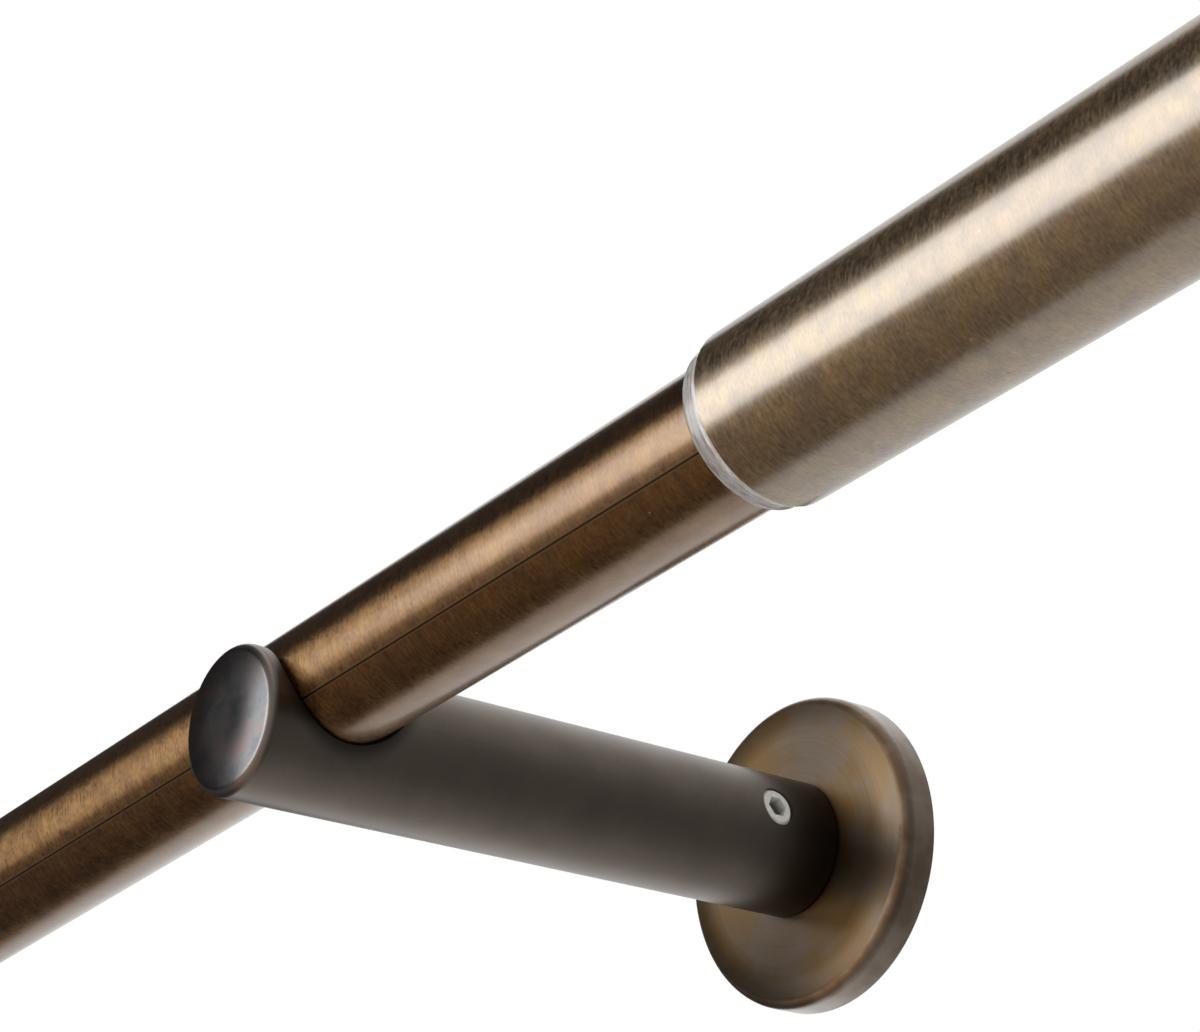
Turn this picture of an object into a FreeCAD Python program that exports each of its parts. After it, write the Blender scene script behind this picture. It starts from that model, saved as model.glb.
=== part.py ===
import FreeCAD, Part
import math
import os

from FreeCAD import Vector

# Extendable curtain rod: two telescoping steel tubes on two wall brackets. All sizes in millimetres.
# Origin: centre of the left bracket's wall face. +X runs along the rod, +Y into the wall, +Z up.

# Tubes
inner_diameter = 16.0
inner_wall = 0.8
inner_length = 660.0
outer_diameter = 19.2
outer_wall = 0.8
outer_length = 660.0
mouth_x = 78.7            # open end of the outer tube, from the left bracket
end_break = 0.15          # broken edge on every tube end
seam_width = 0.3          # groove left by the rolled tube's lengthwise joint
seam_depth = 0.25
inner_seam_angle = 213.5  # degrees round the rod from the wall side, over the top
outer_seam_angle = 25.0

# Bracket
bracket_inset = 95.0      # from a tube's outer end to the middle of its bracket
rod_to_wall = 80.2
rod_above_arm = 4.5
arm_diameter = 17.55
arm_end_round = 1.2
arm_flat_diameter = 5.6   # flat middle of the end face
arm_shoulder_tilt = 10.0  # degrees, how far the end face falls back at its rim
arm_back_break = 0.3
saddle_clearance = 0.7    # saddle radius less tube radius
saddle_break = 0.3
lip_thickness = 2.2       # front of the arm, between the saddle and the end face

# Wall fixing
rosette_diameter = 40.6
rosette_depth = 5.4
rosette_face = 1.4        # thickness of the turned front
rosette_skirt = 1.2
rosette_edge_round = 1.6
rosette_shoulder_width = 3.6
rosette_shoulder_tilt = 12.0
rosette_shoulder_round = 16.0
plate_clearance = 0.4     # between the wall plate's rim and the rosette's skirt
plate_break = 0.4
boss_diameter = 10.0
boss_engagement = 14.0    # length of the boss inside the arm
boss_break = 0.6
boss_clearance = 0.1      # radial, between boss and arm
rosette_hole_clearance = 0.3
bore_end_gap = 0.8        # between the boss's end and the bottom of the arm's bore
wall_hole_diameter = 4.5
wall_hole_spacing = 24.0
countersink_diameter = 8.6

# Grub screw that locks the arm to the boss
grub_diameter = 5.0
grub_from_rosette = 9.9
grub_angle = 7.5          # degrees above the horizontal, on the +X side
grub_recess = 0.3         # end of the screw below the arm's surface
grub_thread_clearance = 0.03
grub_tip_radius = 0.6
grub_tip_gap = 0.05
grub_end_break = 0.4
hex_across_flats = 2.5
hex_depth = 1.8
groove_depth = 0.8        # 90 degree groove round the boss, for the screw's cone point

# Plastic mouth bush, pressed into the outer tube
bush_sleeve_length = 16.0
bush_collar_diameter = 18.4
bush_collar_length = 0.7
bush_nose_diameter = 17.9
bush_nose_length = 1.9
bush_nose_round = 0.5
press_clearance = 0.02    # radial, what is pressed into a tube
slide_clearance = 0.06    # radial, what slides on or in a tube

# Plastic guide plug, pressed into the inner tube's hidden end
plug_spigot_length = 12.0
plug_land_length = 4.0
plug_waist_length = 6.0
plug_waist_depth = 0.5
plug_wall = 1.4
plug_break = 0.4

# End caps
cap_overhang = 0.4        # radial, past the tube
cap_thickness = 3.2
cap_edge_round = 1.0
cap_spigot_length = 12.0
cap_spigot_break = 0.5
cap_wall = 1.6

# Derived
inner_start = -bracket_inset
inner_stop = inner_start + inner_length
outer_stop = mouth_x + outer_length
right_bracket_x = outer_stop - bracket_inset
rosette_front = -rosette_depth
plate_thickness = rosette_depth - rosette_face
plate_diameter = rosette_diameter - 2 * (rosette_skirt + plate_clearance)
boss_end = rosette_front - boss_engagement
bore_end = boss_end - bore_end_gap
grub_y = rosette_front - grub_from_rosette
cut_margin = 1.0          # how far a cutting tool runs past what it cuts


def between(first, second, distance):
    """Point at a distance from first, on the way to second."""
    step = second - first
    step.normalize()
    return first + step * distance


def rounded_wire(corners):
    """Closed wire through corners of (point, radius); a radius of 0 leaves the corner sharp."""
    entries = []
    for index, (point, radius) in enumerate(corners):
        before = corners[index - 1][0]
        after = corners[(index + 1) % len(corners)][0]
        if radius <= 0:
            entries.append((point, point, None))
            continue
        turn = math.pi - (before - point).getAngle(after - point)
        setback = radius * math.tan(turn / 2)
        start = between(point, before, setback)
        stop = between(point, after, setback)
        chord_middle = (start + stop) * 0.5
        sag = radius / math.cos(turn / 2) - radius
        entries.append((start, stop, between(point, chord_middle, sag)))
    edges = []
    for index, (start, stop, middle) in enumerate(entries):
        if middle is not None:
            edges.append(Part.Arc(start, middle, stop).toShape())
        following = entries[(index + 1) % len(entries)][0]
        if (following - stop).Length > 1e-7:
            edges.append(Part.LineSegment(stop, following).toShape())
    return Part.Wire(edges)


def turned(corners, axis):
    """Solid of revolution from corners of (along, radius from the axis, corner radius)."""
    if axis == "X":
        placed = [(Vector(along, 0, out), corner) for along, out, corner in corners]
        direction = Vector(1, 0, 0)
    else:
        placed = [(Vector(out, along, 0), corner) for along, out, corner in corners]
        direction = Vector(0, 1, 0)
    return Part.Face(rounded_wire(placed)).revolve(Vector(0, 0, 0), direction, 360)


def on_rod(shape, x=0.0):
    """Move a shape made round the X axis onto the rod's axis."""
    return shape.translated(Vector(x, -rod_to_wall, rod_above_arm))


def chamfered_ring(start, stop, bore, outside, size):
    """Corners of a ring's section with both outer edges broken."""
    return [
        (start, bore, 0),
        (start, outside - size, 0),
        (start + size, outside, 0),
        (stop - size, outside, 0),
        (stop, outside - size, 0),
        (stop, bore, 0),
    ]


def make_tube(start, length, diameter, wall, seam_angle):
    """Rolled tube with the shallow groove of its lengthwise seam."""
    radius = diameter / 2
    tube = turned(chamfered_ring(0, length, radius - wall, radius, end_break), "X")
    groove = Part.makeBox(length + 2 * cut_margin, seam_depth + cut_margin, seam_width)
    groove.translate(Vector(-cut_margin, radius - seam_depth, -seam_width / 2))
    groove.rotate(Vector(0, 0, 0), Vector(1, 0, 0), seam_angle)
    return on_rod(tube.cut(groove), start)


def make_mouth_bush():
    """Stepped collar that stands out of the mouth, with a sleeve inside the outer tube."""
    bore = inner_diameter / 2 + slide_clearance
    sleeve = outer_diameter / 2 - outer_wall - press_clearance
    nose = -bush_collar_length - bush_nose_length
    corners = [
        (nose, bore, 0),
        (nose, bush_nose_diameter / 2, bush_nose_round),
        (-bush_collar_length, bush_nose_diameter / 2, 0),
        (-bush_collar_length, bush_collar_diameter / 2, 0),
        (0, bush_collar_diameter / 2, 0),
        (0, sleeve, 0),
        (bush_sleeve_length, sleeve, 0),
        (bush_sleeve_length, bore, 0),
    ]
    return on_rod(turned(corners, "X"), mouth_x)


def make_guide_plug():
    """Hollow plug with two lands that keep the inner tube centred in the outer one."""
    spigot = inner_diameter / 2 - inner_wall - press_clearance
    land = outer_diameter / 2 - outer_wall - slide_clearance
    waist = land - plug_waist_depth
    hollow = spigot - plug_wall
    head = 2 * plug_land_length + plug_waist_length
    corners = [
        (-plug_spigot_length, hollow, 0),
        (-plug_spigot_length, spigot - plug_break, 0),
        (-plug_spigot_length + plug_break, spigot, 0),
        (0, spigot, 0),
        (0, land, plug_break),
        (plug_land_length, land, 0),
        (plug_land_length, waist, 0),
        (head - plug_land_length, waist, 0),
        (head - plug_land_length, land, 0),
        (head, land, plug_break),
        (head, 0, 0),
        (head - plug_wall, 0, 0),
        (head - plug_wall, hollow, 0),
    ]
    return on_rod(turned(corners, "X"), inner_stop)


def make_end_cap(tube_end, diameter, wall, outward):
    """Turned cap with a hollow spigot; outward is -1 for the left end, 1 for the right end."""
    head = diameter / 2 + cap_overhang
    spigot = diameter / 2 - wall - press_clearance
    hollow = spigot - cap_wall
    corners = [
        (-cap_spigot_length, hollow, 0),
        (-cap_spigot_length, spigot - cap_spigot_break, 0),
        (-cap_spigot_length + cap_spigot_break, spigot, 0),
        (0, spigot, 0),
        (0, head, 0),
        (cap_thickness, head, cap_edge_round),
        (cap_thickness, 0, 0),
        (0, 0, 0),
        (0, hollow, 0),
    ]
    cap = turned(corners, "X")
    if outward < 0:
        cap.rotate(Vector(0, 0, 0), Vector(0, 0, 1), 180)
    return on_rod(cap, tube_end)


def saddle_cutter(tube_diameter):
    """U-shaped bar along X: round below, straight above, open at the top of the arm."""
    radius = tube_diameter / 2 + saddle_clearance
    bottom = rod_above_arm - tube_diameter / 2
    middle = bottom + radius
    top = arm_diameter / 2 + cut_margin
    left = Vector(0, -radius, middle)
    right = Vector(0, radius, middle)
    left_top = Vector(0, -radius, top)
    right_top = Vector(0, radius, top)
    edges = [
        Part.Arc(left, Vector(0, 0, bottom), right).toShape(),
        Part.LineSegment(right, right_top).toShape(),
        Part.LineSegment(right_top, left_top).toShape(),
        Part.LineSegment(left_top, left).toShape(),
    ]
    width = arm_diameter + 2 * cut_margin
    bar = Part.Face(Part.Wire(edges)).extrude(Vector(width, 0, 0))
    return bar.translated(Vector(-width / 2, -rod_to_wall, 0))


def grub_frame(shape):
    """Place a shape made round the X axis on the grub screw's axis."""
    shape.rotate(Vector(0, 0, 0), Vector(0, 1, 0), -grub_angle)
    return shape.translated(Vector(0, grub_y, 0))


def saddle_edges(arm, tube_diameter):
    """Edges where the saddle breaks out of the arm's round surface."""
    radius = tube_diameter / 2 + saddle_clearance
    reach = arm_diameter / 2
    found = []
    for edge in arm.Edges:
        middle = edge.valueAt((edge.FirstParameter + edge.LastParameter) / 2)
        inside = abs(middle.y + rod_to_wall) <= radius + 1e-3
        if inside and abs(math.hypot(middle.x, middle.z) - reach) < 1e-3:
            found.append(edge)
    return found


def make_arm(tube_diameter):
    """Round bar: blind bore at the wall end, saddle for the tube near the free end."""
    radius = arm_diameter / 2
    free_end = -(rod_to_wall + tube_diameter / 2 + saddle_clearance + lip_thickness)
    tilt = math.radians(arm_shoulder_tilt)
    flat = arm_flat_diameter / 2
    setback = (radius - arm_end_round - flat) / (1 + math.cos(tilt))
    shoulder = flat + setback
    end_face = free_end - (radius - shoulder) * math.tan(tilt)
    bore = boss_diameter / 2 + boss_clearance
    corners = [
        (end_face, 0, 0),
        (end_face, shoulder, setback / math.tan(tilt / 2)),
        (free_end, radius, arm_end_round),
        (rosette_front - arm_back_break, radius, 0),
        (rosette_front, radius - arm_back_break, 0),
        (rosette_front, bore, 0),
        (bore_end, bore, 0),
        (bore_end, 0, 0),
    ]
    arm = turned(corners, "Y").cut(saddle_cutter(tube_diameter))
    arm = arm.makeChamfer(saddle_break, saddle_edges(arm, tube_diameter))
    hole_radius = grub_diameter / 2 + grub_thread_clearance
    hole = Part.makeCylinder(hole_radius, radius + cut_margin, Vector(0, 0, 0), Vector(1, 0, 0))
    return arm.cut(grub_frame(hole))


def make_grub_screw():
    """Socket set screw with a cone point that seats in the boss's groove."""
    radius = grub_diameter / 2
    tip = boss_diameter / 2 - groove_depth + grub_tip_radius + grub_tip_gap * math.sqrt(2)
    end = arm_diameter / 2 - grub_recess
    corners = [
        (tip, 0, 0),
        (tip, grub_tip_radius, 0),
        (tip + radius - grub_tip_radius, radius, 0),
        (end - grub_end_break, radius, 0),
        (end, radius - grub_end_break, 0),
        (end, 0, 0),
    ]
    screw = turned(corners, "X")
    corner_radius = hex_across_flats / 2 / math.cos(math.radians(30))
    points = []
    for index in range(7):
        angle = math.radians(60 * index)
        points.append(Vector(end - hex_depth, corner_radius * math.cos(angle), corner_radius * math.sin(angle)))
    socket = Part.Face(Part.makePolygon(points)).extrude(Vector(hex_depth + cut_margin, 0, 0))
    return grub_frame(screw.cut(socket))


def make_rosette():
    """Turned cover: flat front that falls away to a round edge, skirt to the wall, hole for the boss."""
    radius = rosette_diameter / 2
    shoulder_drop = rosette_shoulder_width * math.tan(math.radians(rosette_shoulder_tilt))
    hole = boss_diameter / 2 + rosette_hole_clearance
    corners = [
        (rosette_front, hole, 0),
        (rosette_front, radius - rosette_shoulder_width, rosette_shoulder_round),
        (rosette_front + shoulder_drop, radius, rosette_edge_round),
        (0, radius, 0),
        (0, radius - rosette_skirt, 0),
        (rosette_front + rosette_face, radius - rosette_skirt, 0),
        (rosette_front + rosette_face, hole, 0),
    ]
    return turned(corners, "Y")


def make_wall_plate():
    """Disc screwed to the wall, with a grooved boss that carries the arm."""
    radius = plate_diameter / 2
    boss = boss_diameter / 2
    front = -plate_thickness
    corners = [
        (0, 0, 0),
        (0, radius, 0),
        (front + plate_break, radius, 0),
        (front, radius - plate_break, 0),
        (front, boss, 0),
        (grub_y + groove_depth, boss, 0),
        (grub_y, boss - groove_depth, 0),
        (grub_y - groove_depth, boss, 0),
        (boss_end + boss_break, boss, 0),
        (boss_end, boss - boss_break, 0),
        (boss_end, 0, 0),
    ]
    plate = turned(corners, "Y")
    hole = wall_hole_diameter / 2
    head = countersink_diameter / 2
    sink_depth = head - hole
    tool = turned(
        [
            (cut_margin, 0, 0),
            (cut_margin, hole, 0),
            (front + sink_depth, hole, 0),
            (front, head, 0),
            (front - cut_margin, head, 0),
            (front - cut_margin, 0, 0),
        ],
        "Y",
    )
    for side in (-1, 1):
        plate = plate.cut(tool.translated(Vector(0, 0, side * wall_hole_spacing / 2)))
    return plate


def bracket_parts(side, x, tube_diameter):
    """The four pieces of one wall bracket, moved along the wall to x."""
    shapes = {
        "bracket_arm": make_arm(tube_diameter),
        "rosette": make_rosette(),
        "wall_plate": make_wall_plate(),
        "grub_screw": make_grub_screw(),
    }
    return {f"{side}_{name}": shape.translated(Vector(x, 0, 0)) for name, shape in shapes.items()}


def rod_parts():
    """The tubes and what is pressed into their ends."""
    return {
        "inner_tube": make_tube(inner_start, inner_length, inner_diameter, inner_wall, inner_seam_angle),
        "outer_tube": make_tube(mouth_x, outer_length, outer_diameter, outer_wall, outer_seam_angle),
        "mouth_bush": make_mouth_bush(),
        "guide_plug": make_guide_plug(),
        "inner_end_cap": make_end_cap(inner_start, inner_diameter, inner_wall, -1),
        "outer_end_cap": make_end_cap(outer_stop, outer_diameter, outer_wall, 1),
    }


def main():
    os.makedirs("parts", exist_ok=True)
    parts = rod_parts()
    parts.update(bracket_parts("left", 0.0, inner_diameter))
    parts.update(bracket_parts("right", right_bracket_x, outer_diameter))
    for name, shape in parts.items():
        shape.exportStep(f"parts/{name}.step")
        print(name, "valid", shape.isValid(), "solids", len(shape.Solids), "volume", round(shape.Volume, 2))


main()
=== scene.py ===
import math

import bmesh
import bpy
from mathutils import Matrix, Vector


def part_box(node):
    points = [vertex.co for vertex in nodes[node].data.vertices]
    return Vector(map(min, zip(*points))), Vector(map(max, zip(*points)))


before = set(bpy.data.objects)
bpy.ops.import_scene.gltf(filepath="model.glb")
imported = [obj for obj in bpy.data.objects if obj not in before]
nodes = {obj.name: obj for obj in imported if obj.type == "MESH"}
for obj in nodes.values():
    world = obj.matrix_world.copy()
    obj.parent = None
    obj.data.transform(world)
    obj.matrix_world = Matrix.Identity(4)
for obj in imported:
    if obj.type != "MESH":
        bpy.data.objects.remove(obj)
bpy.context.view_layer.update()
print("frame loaded:", len(nodes), "nodes")

mm = 0.001
blob = 0.5                       # a noise texture of scale 1 has blobs about this wide
quarterTurn = 0.25               # turns a sheen from along the strokes to across them
acrossRod = (0.0, 1.0, 1.0)      # keeps the part of a place that lies across the rod
acrossArm = (1.0, 0.0, 1.0)
outOfWall = (0.0, -1.0, 0.0)


def middle(name):
    low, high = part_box(name)
    return (low + high) / 2


def tubeRadius(name):
    low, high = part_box(name)
    return (high.z - low.z) / 2


rodAxis = middle("inner_tube")       # its Y and Z are those of both tubes
leftAxis = middle("left_rosette")    # its X and Z are those of the left arm and cover
rightAxis = middle("right_rosette")
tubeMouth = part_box("outer_tube")[0].x


def srgb(hexText):
    # hex text to the linear colour that the shaders work in
    parts = [int(hexText[i:i + 2], 16) / 255 for i in (1, 3, 5)]
    return (*[c / 12.92 if c <= 0.04045 else ((c + 0.055) / 1.055) ** 2.4 for c in parts], 1.0)


def put(tree, kind, settings=None, links=None):
    # adds one node: settings are its properties, its sockets' values and a ramp's stops,
    # which are pairs of place and hex tone; a link comes from a socket, or from the first
    # live output of a node
    made = tree.nodes.new(kind)
    for key, value in (settings or {}).items():
        if key == "stops":
            stops = [(position, srgb(tone)) for position, tone in value]
            points = made.color_ramp.elements
            points[0].position, points[0].color = stops[0]
            points[1].position, points[1].color = stops[-1]
            for position, colour in stops[1:-1]:
                points.new(position).color = colour
        elif isinstance(key, str) and hasattr(made, key):
            setattr(made, key, value)
        else:
            made.inputs[key].default_value = value
    for key, source in (links or {}).items():
        if isinstance(source, bpy.types.Node):
            source = next(socket for socket in source.outputs if socket.enabled)
        tree.links.new(source, made.inputs[key])
    return made


def freshMaterial(name):
    made = bpy.data.materials.new(name)
    made.use_nodes = True
    made.node_tree.nodes.clear()
    return made, made.node_tree


def dress(names, material):
    for name in names:
        slots = nodes[name].data.materials
        slots.clear()
        slots.append(material)


# The camera was set by fitting the outlines of the tubes, the arm, the bush and the cover
# to the photograph.
cameraPlace = {
    "position": (0.26111, -0.26437, -0.13563),
    "right": (0.63221, 0.77122, -0.07438),
    "up": (0.39217, -0.23573, 0.88918),
    "lens": 90.83,             # mm, as is the sensor's width
    "sensor": 36.0,
    "nearest": 0.01,           # metres, between which it sees
    "farthest": 20.0,
}


def makeCamera(settings):
    data = bpy.data.cameras.new("studioCamera")
    data.sensor_width = settings["sensor"]
    data.lens = settings["lens"]
    data.clip_start = settings["nearest"]
    data.clip_end = settings["farthest"]
    camera = bpy.data.objects.new("studioCamera", data)
    bpy.context.scene.collection.objects.link(camera)
    right = Vector(settings["right"]).normalized()
    up = Vector(settings["up"])
    up = (up - right * up.dot(right)).normalized()
    turn = Matrix((right, up, right.cross(up))).transposed().to_4x4()
    camera.matrix_world = Matrix.Translation(settings["position"]) @ turn
    bpy.context.scene.camera = camera


makeCamera(cameraPlace)
print("camera set")


# The studio is white paper behind the object, a dim warm room in front of it, a pale floor and
# one large soft lamp at the front left. The room and the paper show in mirrors only.
studio = {
    "paperLean": (0.485, 0.835, -0.04),   # the way towards the white paper
    "paperHeight": 0.25,                  # paper curls round above and below
    "paperEdge": (0.01, 0.11),
    "shadeLean": (1.0, 0.0, -0.45),       # the way towards the shaded side of the paper
    "shadeRange": (-0.7, 0.9),
    "shade": [(0.17, "#FFFFFF"), (0.34, "#E1E1E1"), (0.56, "#C5C5C5"), (0.7, "#B8B8B8"),
              (0.81, "#A6A6A6"), (0.96, "#7C7C7C")],
    "sides": (-1.0, 1.0),                 # the room runs from its left to its right
    "room": [(0.09, "#55565A"), (0.135, "#4B3F34"), (0.165, "#8A755C"), (0.215, "#AB957C"),
             (0.25, "#BAA388"), (0.33, "#B3A28C"), (0.5, "#A69A8C"), (0.9, "#A0968A")],
    "roomHeight": (-0.25, 0.35),
    "ceiling": [(0.1, "#35302E"), (0.38, "#2E2C2A"), (0.6, "#8F8B86"), (0.85, "#9E9993")],
    "roomDepth": (-0.55, -0.05),
    "roomUnder": 0.5,                     # how bright it still is straight below
    "haloEdge": (0.85, 0.95),
    "halo": 0.5,                          # the lamp's soft rim
    "ambient": 0.55,
    "white": "#FFFFFF",
}


def makeWorld(settings, lampWay):
    world = bpy.data.worlds.new("studioWorld")
    bpy.context.scene.world = world
    world.use_nodes = True
    tree = world.node_tree
    tree.nodes.clear()
    way = put(tree, "ShaderNodeTexCoord").outputs["Generated"]
    x, y, z = put(tree, "ShaderNodeSeparateXYZ", {}, {0: way}).outputs

    # how far a direction leans to the paper, and how bright the paper is there
    lean = put(tree, "ShaderNodeVectorMath",
               {"operation": "DOT_PRODUCT", 1: settings["paperLean"]}, {0: way})
    high = put(tree, "ShaderNodeMath", {"operation": "ABSOLUTE"}, {0: z})
    curled = put(tree, "ShaderNodeMath",
                 {"operation": "MULTIPLY_ADD", 1: settings["paperHeight"]}, {0: high, 2: lean})
    low, full = settings["paperEdge"]
    paper = put(tree, "ShaderNodeMapRange",
                {"interpolation_type": "SMOOTHSTEP", 1: low, 2: full}, {0: curled})
    side = put(tree, "ShaderNodeVectorMath",
               {"operation": "DOT_PRODUCT", 1: settings["shadeLean"]}, {0: way})
    low, full = settings["shadeRange"]
    sideShare = put(tree, "ShaderNodeMapRange", {1: low, 2: full}, {0: side})
    shade = put(tree, "ShaderNodeValToRGB", {"stops": settings["shade"]}, {0: sideShare})

    # the room in front of it
    left, right = settings["sides"]
    across = put(tree, "ShaderNodeMapRange", {1: left, 2: right}, {0: x})
    room = put(tree, "ShaderNodeValToRGB", {"stops": settings["room"]}, {0: across})
    low, full = settings["roomHeight"]
    overhead = put(tree, "ShaderNodeMapRange",
                   {"interpolation_type": "SMOOTHSTEP", 1: low, 2: full}, {0: z})
    low, full = settings["roomDepth"]
    under = put(tree, "ShaderNodeMapRange",
                {1: low, 2: full, 3: 1.0, 4: settings["roomUnder"]}, {0: y})
    dimRoom = put(tree, "ShaderNodeVectorMath", {"operation": "SCALE"}, {0: room, "Scale": under})
    ceiling = put(tree, "ShaderNodeValToRGB", {"stops": settings["ceiling"]}, {0: across})
    roomed = put(tree, "ShaderNodeMix", {"data_type": "RGBA"},
                 {0: overhead, 6: dimRoom, 7: ceiling})
    seen = put(tree, "ShaderNodeMix", {"data_type": "RGBA"}, {0: paper, 6: roomed, 7: shade})

    # the lamp's soft rim
    aim = Vector(lampWay).normalized()
    near = put(tree, "ShaderNodeVectorMath", {"operation": "DOT_PRODUCT", 1: aim}, {0: way})
    low, full = settings["haloEdge"]
    halo = put(tree, "ShaderNodeMapRange",
               {"interpolation_type": "SMOOTHSTEP", 1: low, 2: full, 4: settings["halo"]},
               {0: near})
    glowing = put(tree, "ShaderNodeVectorMath", {"operation": "ADD"}, {0: seen, 1: halo})

    # mirrors see the studio, the camera sees white, and all else gets an even light
    mirrored = put(tree, "ShaderNodeBackground", {}, {0: glowing})
    white = put(tree, "ShaderNodeBackground", {0: srgb(settings["white"])})
    soft = put(tree, "ShaderNodeBackground", {0: srgb(settings["white"]), 1: settings["ambient"]})
    rays = put(tree, "ShaderNodeLightPath")
    reflected = put(tree, "ShaderNodeMath", {"operation": "MAXIMUM"},
                    {0: rays.outputs["Is Glossy Ray"], 1: rays.outputs["Is Transmission Ray"]})
    lit = put(tree, "ShaderNodeMixShader", {}, {0: reflected, 1: soft, 2: mirrored})
    shown = put(tree, "ShaderNodeMixShader", {},
                {0: rays.outputs["Is Camera Ray"], 1: lit, 2: white})
    put(tree, "ShaderNodeOutputWorld", {}, {0: shown})


floorPaper = {
    "height": -0.75,
    "radius": 7.0,
    "sides": 128,
    "grain": 900.0,                       # noise scale per metre, fibres about 0.6 mm wide
    "tones": [(0.3, "#E2E0DC"), (0.7, "#EAE8E5")],
    "roughness": 0.9,
}


def makeFloor(settings):
    work = bmesh.new()
    bmesh.ops.create_circle(work, cap_ends=True, segments=settings["sides"],
                            radius=settings["radius"])
    bmesh.ops.translate(work, verts=work.verts, vec=(rightAxis.x / 2, 0, settings["height"]))
    mesh = bpy.data.meshes.new("studioFloor")
    work.to_mesh(mesh)
    work.free()
    floor = bpy.data.objects.new("studioFloor", mesh)
    bpy.context.scene.collection.objects.link(floor)
    material, tree = freshMaterial("paleMattePaper")
    place = put(tree, "ShaderNodeTexCoord").outputs["Object"]
    grain = put(tree, "ShaderNodeTexNoise", {"Scale": settings["grain"], "Detail": 3.0},
                {"Vector": place})
    tone = put(tree, "ShaderNodeValToRGB", {"stops": settings["tones"]}, {0: grain})
    paper = put(tree, "ShaderNodeBsdfPrincipled", {"Roughness": settings["roughness"]},
                {"Base Color": tone})
    put(tree, "ShaderNodeOutputMaterial", {}, {0: paper})
    mesh.materials.append(material)
    floor.visible_glossy = False   # the metal mirrors the white paper, not the floor's edge


lamp = {
    "aim": (0.06, -0.08, 0.0),
    "direction": (-0.40, -0.88, 0.20),
    "distance": 1.2,
    "width": 1.0,
    "height": 1.05,
    "watts": 9.0,
    "tone": "#F4F9FD",                    # slightly cool, as flash behind white cloth
}


def makeLamp(settings):
    data = bpy.data.lights.new("keySoftbox", "AREA")
    data.shape = "ELLIPSE"
    data.size, data.size_y = settings["width"], settings["height"]
    data.energy = settings["watts"]
    data.color = srgb(settings["tone"])[:3]
    made = bpy.data.objects.new("keySoftbox", data)
    bpy.context.scene.collection.objects.link(made)
    way = Vector(settings["direction"]).normalized()
    spot = Vector(settings["aim"]) + way * settings["distance"]
    made.matrix_world = Matrix.Translation(spot) @ way.to_track_quat("Z", "Y").to_matrix().to_4x4()
    made.visible_camera = False


makeWorld(studio, lamp["direction"])
makeFloor(floorPaper)
makeLamp(lamp)
print("studio set")


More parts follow.
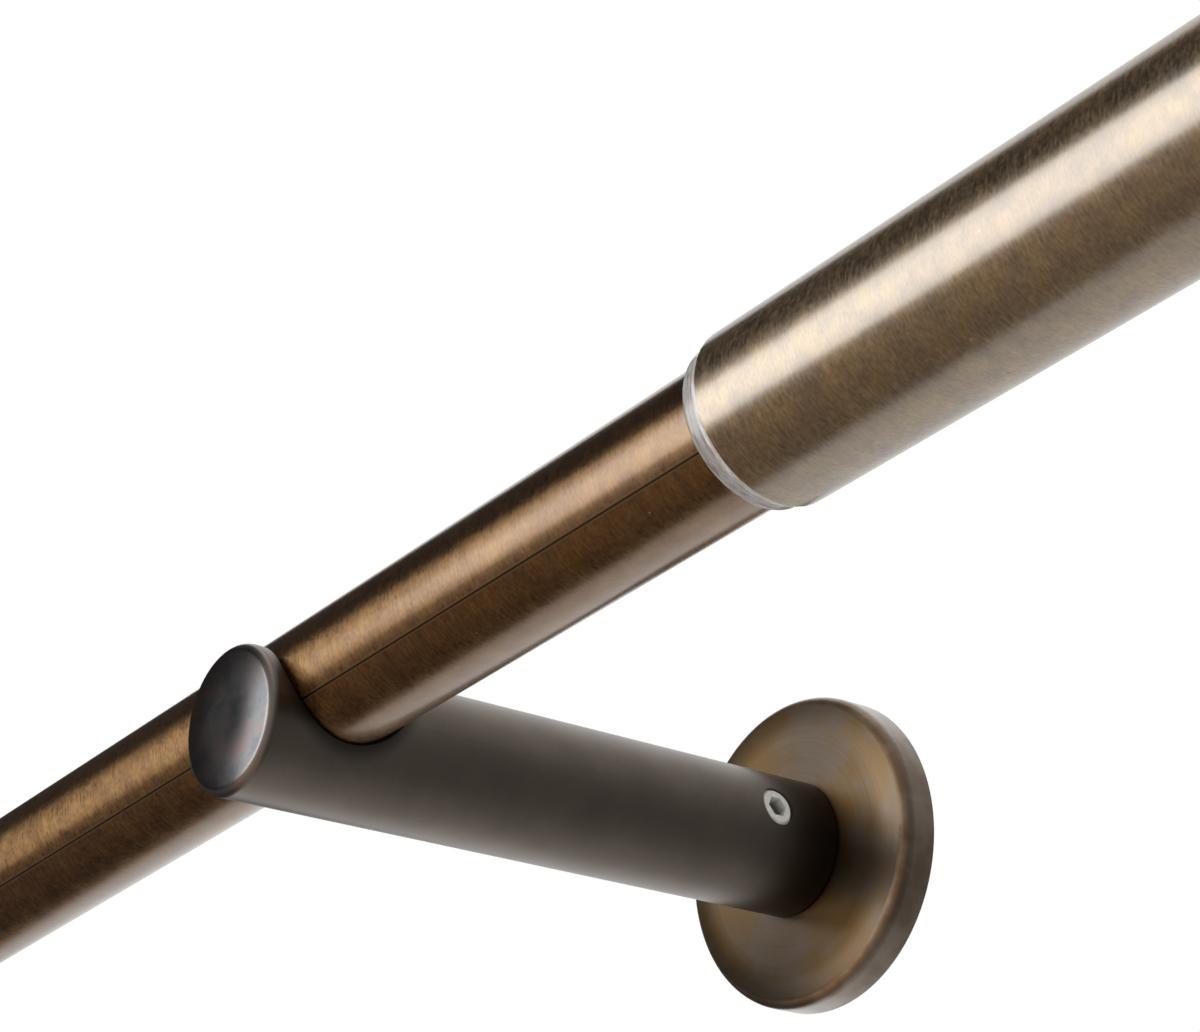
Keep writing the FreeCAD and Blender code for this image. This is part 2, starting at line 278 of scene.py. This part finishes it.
# Bronze-plated rolled steel, belt-brushed round the tube and lacquered: the strokes spread the
# sheen along the tube and keep it narrow across, and the lacquer brightens the tube's edges.
def brushedTube(name, look):
    material, tree = freshMaterial(name)
    place = put(tree, "ShaderNodeTexCoord").outputs["Object"]
    centred = put(tree, "ShaderNodeMapping",
                  {"Location": (0.0, -rodAxis.y, -rodAxis.z)}, {0: place})
    # layers of marks, each as long along the rod and round it as its setting says
    marks = None
    for alongRod, roundRod, share in look["marks"]:
        stretched = put(tree, "ShaderNodeMapping",
                        {"Scale": (blob / alongRod, blob / roundRod, blob / roundRod)},
                        {0: centred})
        layer = put(tree, "ShaderNodeTexNoise", {"Scale": 1.0, "Detail": 2.0}, {0: stretched})
        links = {0: layer, 2: marks} if marks else {0: layer}
        marks = put(tree, "ShaderNodeMath", {"operation": "MULTIPLY_ADD", 1: share, 2: 0.0}, links)
    cloud = put(tree, "ShaderNodeTexNoise",
                {"Scale": blob / look["patina"], "Detail": 4.0, "Roughness": 0.65}, {0: centred})
    tone = put(tree, "ShaderNodeValToRGB", {"stops": look["tones"]}, {0: marks})
    hue = put(tree, "ShaderNodeValToRGB", {"stops": look["hues"]}, {0: cloud})
    painted = put(tree, "ShaderNodeMix", {"data_type": "RGBA", "blend_type": "MULTIPLY", 0: 1.0},
                  {6: tone, 7: hue})

    # scattered specks: bare light points and dark pits in the plating
    for speck in look["specks"]:
        cell = put(tree, "ShaderNodeTexVoronoi", {"Scale": 1.0 / speck["apart"]}, {0: centred})
        chosen = put(tree, "ShaderNodeSeparateColor", {}, {0: cell.outputs["Color"]})
        kept = put(tree, "ShaderNodeMath", {"operation": "LESS_THAN", 1: speck["share"]},
                   {0: chosen})
        size = speck["radius"] / speck["apart"]
        dot = put(tree, "ShaderNodeMapRange",
                  {"interpolation_type": "SMOOTHSTEP", 1: size * look["speckCore"], 2: size,
                   3: 1.0, 4: 0.0}, {0: cell.outputs["Distance"]})
        mask = put(tree, "ShaderNodeMath", {"operation": "MULTIPLY"}, {0: kept, 1: dot})
        painted = put(tree, "ShaderNodeMix", {"data_type": "RGBA", 7: srgb(speck["tone"])},
                      {0: mask, 6: painted})

    # the rolled tube's seam: a dark line with a burnished edge on both sides
    angle = math.radians(look["seamAngle"])
    across = put(tree, "ShaderNodeVectorMath",
                 {"operation": "DOT_PRODUCT", 1: (0.0, -math.sin(angle), math.cos(angle))},
                 {0: centred})
    outward = put(tree, "ShaderNodeVectorMath",
                  {"operation": "DOT_PRODUCT", 1: (0.0, math.cos(angle), math.sin(angle))},
                  {0: centred})
    front = put(tree, "ShaderNodeMath", {"operation": "GREATER_THAN", 1: 0.0}, {0: outward})
    off = put(tree, "ShaderNodeMath", {"operation": "ABSOLUTE"}, {0: across})
    for width, fade, colour in look["seam"]:
        line = put(tree, "ShaderNodeMapRange",
                   {"interpolation_type": "SMOOTHSTEP", 1: width, 2: width + fade,
                    3: 1.0, 4: 0.0}, {0: off})
        mask = put(tree, "ShaderNodeMath", {"operation": "MULTIPLY"}, {0: line, 1: front})
        painted = put(tree, "ShaderNodeMix", {"data_type": "RGBA", 7: srgb(colour)},
                      {0: mask, 6: painted})

    # the lightest marks are the roughest
    darkest, lightest = look["tones"][0][0], look["tones"][-1][0]
    smooth, coarse = look["roughness"]
    rough = put(tree, "ShaderNodeMapRange", {1: darkest, 2: lightest, 3: smooth, 4: coarse},
                {0: marks})
    relief = put(tree, "ShaderNodeBump", {"Strength": look["relief"], "Distance": look["depth"]},
                 {"Height": marks})
    along = put(tree, "ShaderNodeTangent", {"direction_type": "RADIAL", "axis": "X"})
    metal = put(tree, "ShaderNodeBsdfPrincipled", {
        "Metallic": 1.0,
        "Anisotropic": look["anisotropic"],
        "Anisotropic Rotation": quarterTurn,
        "Coat Weight": look["coat"],
        "Coat Roughness": look["coatRoughness"],
        "Coat IOR": look["coatIor"],
        "Specular Tint": srgb(look["grazing"]),
    }, {"Base Color": painted, "Roughness": rough, "Normal": relief, "Tangent": along})
    put(tree, "ShaderNodeOutputMaterial", {}, {0: metal})
    return material


innerLook = {
    "tones": [(0.36, "#72593B"), (0.5, "#8B6D4A"), (0.64, "#9F7E56")],
    "hues": [(0.38, "#DDD0C8"), (0.62, "#FFF6E2")],     # browner and more golden clouds
    "patina": 2.0 * mm,                                 # how wide those are
    # size along the rod, size round it and share of: pitted grain, the belt's strokes and the
    # strip's rolling streaks; real strokes are 0.05 mm wide, and these are coarser so as to show
    "marks": [(0.15 * mm, 0.3 * mm, 0.5), (0.12 * mm, 1.2 * mm, 0.38),
              (1.1 * mm, 0.3 * mm, 0.12)],
    "roughness": (0.27, 0.43), "anisotropic": 0.9,
    "relief": 0.06, "depth": 0.03 * mm,
    "coat": 1.0, "coatRoughness": 0.2, "coatIor": 1.5,
    "grazing": "#FFFFFF",                               # tint of the metal's own bright edge
    "speckCore": 0.5,                                   # share of a speck before it fades
    "specks": [
        {"apart": 5.0 * mm, "share": 0.35, "radius": 0.16 * mm, "tone": "#C9BBA4"},
        {"apart": 7.0 * mm, "share": 0.25, "radius": 0.24 * mm, "tone": "#2A1D12"},
    ],
    "seamAngle": 213.5,                   # degrees round the rod from the wall side, over the top
    # half width, fade and tone of the burnished edge and of the dark line
    "seam": [(0.16 * mm, 0.22 * mm, "#94795A"), (0.045 * mm, 0.08 * mm, "#22170E")],
}
outerLook = {
    "tones": [(0.36, "#91816C"), (0.5, "#B09D85"), (0.64, "#C9B9A2")],
    "hues": [(0.38, "#DDD6D2"), (0.62, "#FFF4DC")],
    "patina": 1.6 * mm,
    "marks": [(0.15 * mm, 0.32 * mm, 0.55), (0.13 * mm, 1.0 * mm, 0.35),
              (0.6 * mm, 0.5 * mm, 0.1)],
    "roughness": (0.38, 0.56), "anisotropic": 0.83,
    "relief": 0.1, "depth": 0.03 * mm,
    # a plain lacquer has 1.5; this is raised so that its edge outshines the metal's
    "coat": 1.0, "coatRoughness": 0.2, "coatIor": 1.9,
    "grazing": "#A39883",
    "speckCore": 0.5,
    "specks": [
        {"apart": 3.2 * mm, "share": 0.35, "radius": 0.14 * mm, "tone": "#E2D6C2"},
        {"apart": 3.6 * mm, "share": 0.3, "radius": 0.18 * mm, "tone": "#33271B"},
    ],
    "seamAngle": 25.0,
    "seam": [(0.16 * mm, 0.22 * mm, "#B3A38B"), (0.06 * mm, 0.07 * mm, "#241A11")],
}
dress(["inner_tube"], brushedTube("lacqueredBronzePlateBrushedDark", innerLook))
dress(["outer_tube"], brushedTube("lacqueredBronzePlateBrushedLight", outerLook))
print("tubes dressed")


# Black-bronze plating on a drawn and blasted bar: an even satin with a fine grain, and a faced
# end that was polished smoother, so that it mirrors the dark room with a faint heat tint.
def satinBar(name, look, centre, rodRadius):
    material, tree = freshMaterial(name)
    coords = put(tree, "ShaderNodeTexCoord")
    place = put(tree, "ShaderNodeMapping", {"Location": (-centre.x, 0.0, -centre.z)},
                {0: coords.outputs["Object"]})
    x, y = put(tree, "ShaderNodeSeparateXYZ", {}, {0: place}).outputs[:2]
    grain = put(tree, "ShaderNodeTexNoise", {"Scale": blob / look["grain"], "Detail": 2.0},
                {0: place})
    cloud = put(tree, "ShaderNodeTexNoise", {"Scale": blob / look["cloud"], "Detail": 4.0},
                {0: place})
    both = put(tree, "ShaderNodeMath", {"operation": "MULTIPLY_ADD", 1: look["grainShare"]},
               {0: grain, 2: cloud})
    sideTone = put(tree, "ShaderNodeValToRGB", {"stops": look["tones"]}, {0: both})
    # painted shade: the arm is darker close to the cover, standing for the cover's shadow and its
    # dark reflection in the arm
    low, full = look["coverShadow"]
    coverShadow = put(tree, "ShaderNodeMapRange", {1: low, 2: full, 3: 1.0, 4: look["coverShadowLevel"]},
               {0: y})
    shaded = put(tree, "ShaderNodeVectorMath", {"operation": "SCALE"},
                 {0: sideTone, "Scale": coverShadow})
    stain = put(tree, "ShaderNodeTexNoise",
                {"Scale": blob / look["stain"], "Detail": 6.0, "Roughness": 0.7}, {0: place})
    warmer = put(tree, "ShaderNodeMath", {"operation": "MULTIPLY_ADD", 1: look["warmLean"]},
                 {0: x, 2: stain})
    endTone = put(tree, "ShaderNodeValToRGB", {"stops": look["endTones"]}, {0: warmer})
    facing = put(tree, "ShaderNodeVectorMath", {"operation": "DOT_PRODUCT", 1: outOfWall},
                 {0: coords.outputs["Normal"]})
    low, full = look["endFacing"]
    end = put(tree, "ShaderNodeMapRange", {"interpolation_type": "SMOOTHSTEP", 1: low, 2: full},
              {0: facing})
    tone = put(tree, "ShaderNodeMix", {"data_type": "RGBA"}, {0: end, 6: shaded, 7: endTone})
    # painted highlight: the rounded edge of the end is painted lighter, standing for the lamp's
    # bright crescent along it
    tip = put(tree, "ShaderNodeMapRange",
              {1: look["tip"], 2: look["tip"] + look["tipFade"], 3: 1.0, 4: 0.0}, {0: y})
    edge = put(tree, "ShaderNodeValToRGB", {"stops": look["sheenFacing"]}, {0: facing})
    paintedSheen = put(tree, "ShaderNodeMath", {"operation": "MULTIPLY"}, {0: edge, 1: tip})
    bright = put(tree, "ShaderNodeMix", {"data_type": "RGBA", 7: srgb(look["edge"])},
                 {0: paintedSheen, 6: tone})
    # painted shade in the crevice along the tube, standing for the shadow there, over some dark
    # antiquing
    fromRod = put(tree, "ShaderNodeMapping", {"Location": (0.0, -rodAxis.y, -rodAxis.z)},
                  {0: coords.outputs["Object"]})
    section = put(tree, "ShaderNodeVectorMath", {"operation": "MULTIPLY", 1: acrossRod},
                  {0: fromRod})
    reach = put(tree, "ShaderNodeVectorMath", {"operation": "LENGTH"}, {0: section})
    low, full = look["crevice"]
    crevice = put(tree, "ShaderNodeMapRange",
                  {"interpolation_type": "SMOOTHSTEP", 1: rodRadius + low, 2: rodRadius + full,
                   3: look["creviceShade"], 4: 1.0}, {0: reach})
    creviceShaded = put(tree, "ShaderNodeVectorMath", {"operation": "SCALE"},
                   {0: bright, "Scale": crevice})
    least, most = look["stainRange"]
    low, full = look["endRoughness"]
    polish = put(tree, "ShaderNodeMapRange", {1: least, 2: most, 3: low, 4: full}, {0: stain})
    rough = put(tree, "ShaderNodeMapRange", {3: look["roughness"]}, {0: end, 4: polish})
    relief = put(tree, "ShaderNodeBump", {"Strength": look["relief"], "Distance": look["depth"]},
                 {"Height": grain})
    metal = put(tree, "ShaderNodeBsdfPrincipled", {
        "Metallic": 1.0,
        "Coat Weight": look["coat"],
        "Coat Roughness": look["coatRoughness"],
    }, {"Base Color": creviceShaded, "Roughness": rough, "Normal": relief})
    put(tree, "ShaderNodeOutputMaterial", {}, {0: metal})
    return material


armLook = {
    "tones": [(0.5, "#6A6056"), (0.9, "#756A5F")],
    "grain": 0.12 * mm, "grainShare": 0.4, "cloud": 3.0 * mm,
    "endTones": [(0.38, "#4E5052"), (0.5, "#5B5958"), (0.62, "#685650")],
    "endFacing": (0.75, 0.96),            # how squarely a spot faces out of the wall
    "stain": 1.4 * mm, "stainRange": (0.35, 0.65),
    "warmLean": -9.0,                     # per metre to the right
    # painted highlight along the end's rounded edge: its tone, and where it lies by how squarely a
    # spot faces out
    "edge": "#958D87",
    "sheenFacing": [(0.25, "#000000"), (0.55, "#FFFFFF"), (0.85, "#FFFFFF"), (0.96, "#000000")],
    "tip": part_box("left_bracket_arm")[0].y + 2.0 * mm, "tipFade": 0.5 * mm,
    # painted shade close to the cover: where it starts, where it is darkest, and how dark
    "coverShadow": (-16.0 * mm, -8.0 * mm), "coverShadowLevel": 0.38,
    # painted shade along the crevice by the tube: how far out it starts and fades, and how dark
    "crevice": (0.2 * mm, 2.4 * mm), "creviceShade": 0.3,
    "roughness": 0.35, "endRoughness": (0.19, 0.23),
    "relief": 0.1, "depth": 0.02 * mm,
    "coat": 0.3, "coatRoughness": 0.3,
}
dress(["left_bracket_arm"],
      satinBar("blackBronzePlateBlastedLeft", armLook, leftAxis, tubeRadius("inner_tube")))
dress(["right_bracket_arm"],
      satinBar("blackBronzePlateBlastedRight", armLook, rightAxis, tubeRadius("outer_tube")))


# Bronze plating on a turned piece, antiqued: fine rings round its axis that spread the light in two
# opposite fans, grey-brown, with golden patches of painted sheen at four places round the axis.
def turnedPiece(name, look, axis, centre):
    onRod = axis == "X"
    material, tree = freshMaterial(name)
    coords = put(tree, "ShaderNodeTexCoord")
    centred = put(tree, "ShaderNodeMapping", {"Location": -centre}, {0: coords.outputs["Object"]})
    inPlane = put(tree, "ShaderNodeVectorMath",
                  {"operation": "MULTIPLY", 1: acrossRod if onRod else acrossArm}, {0: centred})
    radius = put(tree, "ShaderNodeVectorMath", {"operation": "LENGTH"}, {0: inPlane})
    ring = put(tree, "ShaderNodeMath", {"operation": "MULTIPLY", 1: blob / look["ring"]},
               {0: radius})
    drift = put(tree, "ShaderNodeVectorMath", {"operation": "SCALE", "Scale": blob / look["arc"]},
                {0: centred})
    spread = put(tree, "ShaderNodeVectorMath", {"operation": "ADD"}, {0: drift, 1: ring})
    rings = put(tree, "ShaderNodeTexNoise", {"Scale": 1.0, "Detail": 2.0}, {0: spread})
    cloud = put(tree, "ShaderNodeTexNoise", {"Scale": blob / look["cloud"], "Detail": 5.0},
                {0: centred})
    tone = put(tree, "ShaderNodeValToRGB", {"stops": look["tones"]}, {0: rings})

    # painted sheen: golden patches at four places round the axis, where the ring fans catch the
    # light
    parts = put(tree, "ShaderNodeSeparateXYZ", {}, {0: inPlane})
    first = parts.outputs["Y"] if onRod else parts.outputs["X"]
    angle = put(tree, "ShaderNodeMath", {"operation": "ARCTAN2"},
                {0: parts.outputs["Z"], 1: first})
    turned = put(tree, "ShaderNodeMath",
                 {"operation": "MULTIPLY_ADD", 1: look["patches"], 2: look["patchTurn"]},
                 {0: angle})
    wave = put(tree, "ShaderNodeMath", {"operation": "COSINE"}, {0: turned})
    paintedSheen = put(tree, "ShaderNodeMath", {"operation": "MULTIPLY_ADD", 1: look["patchCloud"]},
               {0: cloud, 2: wave})
    low, full = look["patchEdge"]
    sheenPatches = put(tree, "ShaderNodeMapRange",
                 {"interpolation_type": "SMOOTHSTEP", 1: low, 2: full}, {0: paintedSheen})
    golden = put(tree, "ShaderNodeMix",
                 {"data_type": "RGBA", "blend_type": "MULTIPLY", 7: srgb(look["sheenTint"])},
                 {0: sheenPatches, 6: tone})
    # one side is darker, and the rim and its rounded edge are painted lighter: painted sheen,
    # brightest along the rounded edge
    lean = put(tree, "ShaderNodeVectorMath", {"operation": "DOT_PRODUCT", 1: look["darkSide"]},
               {0: inPlane})
    low, full = look["stainRange"]
    stain = put(tree, "ShaderNodeMapRange", {1: low, 2: full, 3: 1.0, 4: look["stain"]},
                {0: lean})
    stained = put(tree, "ShaderNodeVectorMath", {"operation": "SCALE"},
                  {0: golden, "Scale": stain})
    facing = put(tree, "ShaderNodeVectorMath",
                 {"operation": "DOT_PRODUCT", 1: (1.0, 0.0, 0.0) if onRod else (0.0, 1.0, 0.0)},
                 {0: coords.outputs["Normal"]})
    slope = put(tree, "ShaderNodeMath", {"operation": "ABSOLUTE"}, {0: facing})
    side = put(tree, "ShaderNodeValToRGB", {"stops": look["sideTones"]}, {0: slope})
    mottle = put(tree, "ShaderNodeValToRGB", {"stops": look["mottle"]}, {0: cloud})
    mottled = put(tree, "ShaderNodeMix", {"data_type": "RGBA", "blend_type": "MULTIPLY", 0: 1.0},
                  {6: side, 7: mottle})
    low, full = look["faceSlope"]
    rounded = put(tree, "ShaderNodeMapRange",
                  {"interpolation_type": "SMOOTHSTEP", 1: low, 2: full, 3: 1.0, 4: 0.0},
                  {0: slope})
    bright = put(tree, "ShaderNodeMix", {"data_type": "RGBA"}, {0: rounded, 6: stained, 7: mottled})
    low, full = look["coatSlope"]
    lacquer = put(tree, "ShaderNodeMapRange", {1: low, 2: full, 3: 1.0, 4: look["coat"]},
                  {0: slope})
    relief = put(tree, "ShaderNodeBump", {"Strength": look["relief"], "Distance": look["depth"]},
                 {"Height": rings})
    along = put(tree, "ShaderNodeTangent", {"direction_type": "RADIAL", "axis": axis})
    metal = put(tree, "ShaderNodeBsdfPrincipled", {
        "Metallic": 1.0,
        "Roughness": look["roughness"],
        "Anisotropic": look["anisotropic"],
        "Anisotropic Rotation": quarterTurn,
        "Coat Roughness": look["coatRoughness"],
        "Coat IOR": look["coatIor"],
    }, {"Base Color": bright, "Normal": relief, "Tangent": along, "Coat Weight": lacquer})
    put(tree, "ShaderNodeOutputMaterial", {}, {0: metal})
    return material


coverLook = {
    "tones": [(0.35, "#68594A"), (0.65, "#6D5F50")],
    "ring": 0.12 * mm, "arc": 9.0 * mm,   # how wide and how long a ring's mark is
    "cloud": 1.8 * mm,
    # painted sheen: the golden patches' tint, how many round the axis, their turn, cloudiness and
    # edge
    "sheenTint": "#FFE8B4",
    "patches": 4.0, "patchTurn": math.radians(280.0),
    "patchCloud": 6.0, "patchEdge": (1.7, 4.4),
    "darkSide": (-0.5, -0.5, -0.866), "stain": 0.5, "stainRange": (5.0 * mm, 20.0 * mm),
    # from the rim, 0, to the flat face, 1; the lighter tone next to the face is a painted highlight
    # on the rounded edge
    "sideTones": [(0.5, "#887867"), (0.8, "#A58F76")],
    "faceSlope": (0.86, 0.98),
    "coatSlope": (0.3, 0.9),
    "mottle": [(0.4, "#DDCFC2"), (0.6, "#FFFFFF")],
    "roughness": 0.38, "anisotropic": 0.6,
    "relief": 0.04, "depth": 0.02 * mm,
    "coat": 0.3, "coatRoughness": 0.25, "coatIor": 1.5,
}
dress(["left_rosette"], turnedPiece("antiquedBronzeTurnedLeft", coverLook, "Y", leftAxis))
dress(["right_rosette"], turnedPiece("antiquedBronzeTurnedRight", coverLook, "Y", rightAxis))
dress(["inner_end_cap", "outer_end_cap"],
      turnedPiece("antiquedBronzeTurnedCap", coverLook, "X", rodAxis))
print("brackets dressed")


# Zinc-plated pressed steel: bluish grey with a soft spangle, hidden under the cover.
def zincPlate(name, look, centre=None):
    material, tree = freshMaterial(name)
    place = put(tree, "ShaderNodeTexCoord").outputs["Object"]
    spangle = put(tree, "ShaderNodeTexVoronoi", {"Scale": 1.0 / look["spangle"]}, {0: place})
    shade = put(tree, "ShaderNodeSeparateColor", {}, {0: spangle.outputs["Color"]})
    tone = put(tree, "ShaderNodeValToRGB", {"stops": look["tones"]}, {0: shade})
    if "socket" in look:
        # painted shade darkens the hexagon socket towards its floor
        fromArm = put(tree, "ShaderNodeVectorMath", {"operation": "SUBTRACT", 1: centre},
                      {0: place})
        section = put(tree, "ShaderNodeVectorMath", {"operation": "MULTIPLY", 1: acrossArm},
                      {0: fromArm})
        reach = put(tree, "ShaderNodeVectorMath", {"operation": "LENGTH"}, {0: section})
        low, full = look["socket"]
        depth = put(tree, "ShaderNodeMapRange",
                    {1: low, 2: full, 3: look["socketShade"], 4: 1.0}, {0: reach})
        tone = put(tree, "ShaderNodeVectorMath", {"operation": "SCALE"}, {0: tone, "Scale": depth})
    fine = put(tree, "ShaderNodeTexNoise", {"Scale": blob / look["grain"], "Detail": 2.0},
               {0: place})
    relief = put(tree, "ShaderNodeBump", {"Strength": look["relief"], "Distance": look["depth"]},
                 {"Height": fine})
    metal = put(tree, "ShaderNodeBsdfPrincipled",
                {"Metallic": look["metallic"], "Roughness": look["roughness"]},
                {"Base Color": tone, "Normal": relief})
    put(tree, "ShaderNodeOutputMaterial", {}, {0: metal})
    return material


plateLook = {
    "tones": [(0.0, "#9FA3A8"), (1.0, "#BCC0C4")],
    "spangle": 2.5 * mm, "grain": 0.2 * mm,
    "metallic": 1.0, "roughness": 0.36,
    "relief": 0.1, "depth": 0.02 * mm,
}
# The grub screw's zinc is matt and almost white, so part of it scatters like paint.
screwLook = {
    "tones": [(0.0, "#F0ECE4"), (1.0, "#FFFDF8")],
    "spangle": 0.4 * mm, "grain": 0.1 * mm,
    "metallic": 0.12, "roughness": 0.4,
    "relief": 0.1, "depth": 0.02 * mm,
    "socket": (7.0 * mm, 8.2 * mm), "socketShade": 0.3,   # from the arm's axis outwards
}
dress(["left_wall_plate", "right_wall_plate"], zincPlate("zincPlatedSteel", plateLook))
dress(["left_grub_screw"], zincPlate("mattZincSteelLeft", screwLook, leftAxis))
dress(["right_grub_screw"], zincPlate("mattZincSteelRight", screwLook, rightAxis))
print("fixings dressed")


# Moulded polyamide: the bush lets the dark tube behind it show through as a smoky grey, with
# bright edges where the light runs along the wall; the plug inside is thicker and milky.
def mouldedPolyamide(name, look):
    material, tree = freshMaterial(name)
    place = put(tree, "ShaderNodeTexCoord").outputs["Object"]
    alongRod, roundRod = look["flow"]
    stretched = put(tree, "ShaderNodeMapping",
                    {"Scale": (blob / alongRod, blob / roundRod, blob / roundRod)}, {0: place})
    flow = put(tree, "ShaderNodeTexNoise", {"Scale": 1.0, "Detail": 4.0, "Roughness": 0.65},
               {0: stretched})
    tone = put(tree, "ShaderNodeValToRGB", {"stops": look["tones"]}, {0: flow})
    relief = put(tree, "ShaderNodeBump", {"Strength": look["relief"], "Distance": look["depth"]},
                 {"Height": flow})
    links = {"Base Color": tone, "Normal": relief}
    if "thickClear" in look:
        # the collar against the tube's mouth is thicker, so less light passes it
        parts = put(tree, "ShaderNodeSeparateXYZ", {}, {0: place})
        low, full = look["thickFrom"]
        links["Transmission Weight"] = put(
            tree, "ShaderNodeMapRange",
            {1: low, 2: full, 3: look["clear"], 4: look["thickClear"]}, {0: parts})
    plastic = put(tree, "ShaderNodeBsdfPrincipled", {
        "Roughness": look["roughness"],
        "IOR": look["ior"],
        "Transmission Weight": look["clear"],
        "Subsurface Weight": look["milk"],
        "Subsurface Scale": look["milkDepth"],
    }, links)
    put(tree, "ShaderNodeOutputMaterial", {}, {0: plastic})
    return material


bushLook = {
    "tones": [(0.36, "#BAADA6"), (0.62, "#FFFBF7")],
    "flow": (0.22 * mm, 1.3 * mm),        # the melt's streaks: size along the rod and round it
    "roughness": 0.2, "ior": 1.53,
    "relief": 0.05, "depth": 0.05 * mm,
    "clear": 0.6, "thickClear": 0.2, "thickFrom": (tubeMouth - 0.9 * mm, tubeMouth - 0.6 * mm),
    "milk": 0.4, "milkDepth": 1.0 * mm,
}
plugLook = {
    "tones": [(0.36, "#DAD6CE"), (0.62, "#E6E3DC")],
    "flow": (1.5 * mm, 1.5 * mm),
    "roughness": 0.45, "ior": 1.53,
    "relief": 0.05, "depth": 0.05 * mm,
    "clear": 0.0,
    "milk": 0.3, "milkDepth": 1.0 * mm,
}
dress(["mouth_bush"], mouldedPolyamide("clearPolyamideMoulded", bushLook))
dress(["guide_plug"], mouldedPolyamide("milkyPolyamideMoulded", plugLook))
print("plastics dressed")

bpy.context.scene.view_settings.view_transform = "Standard"
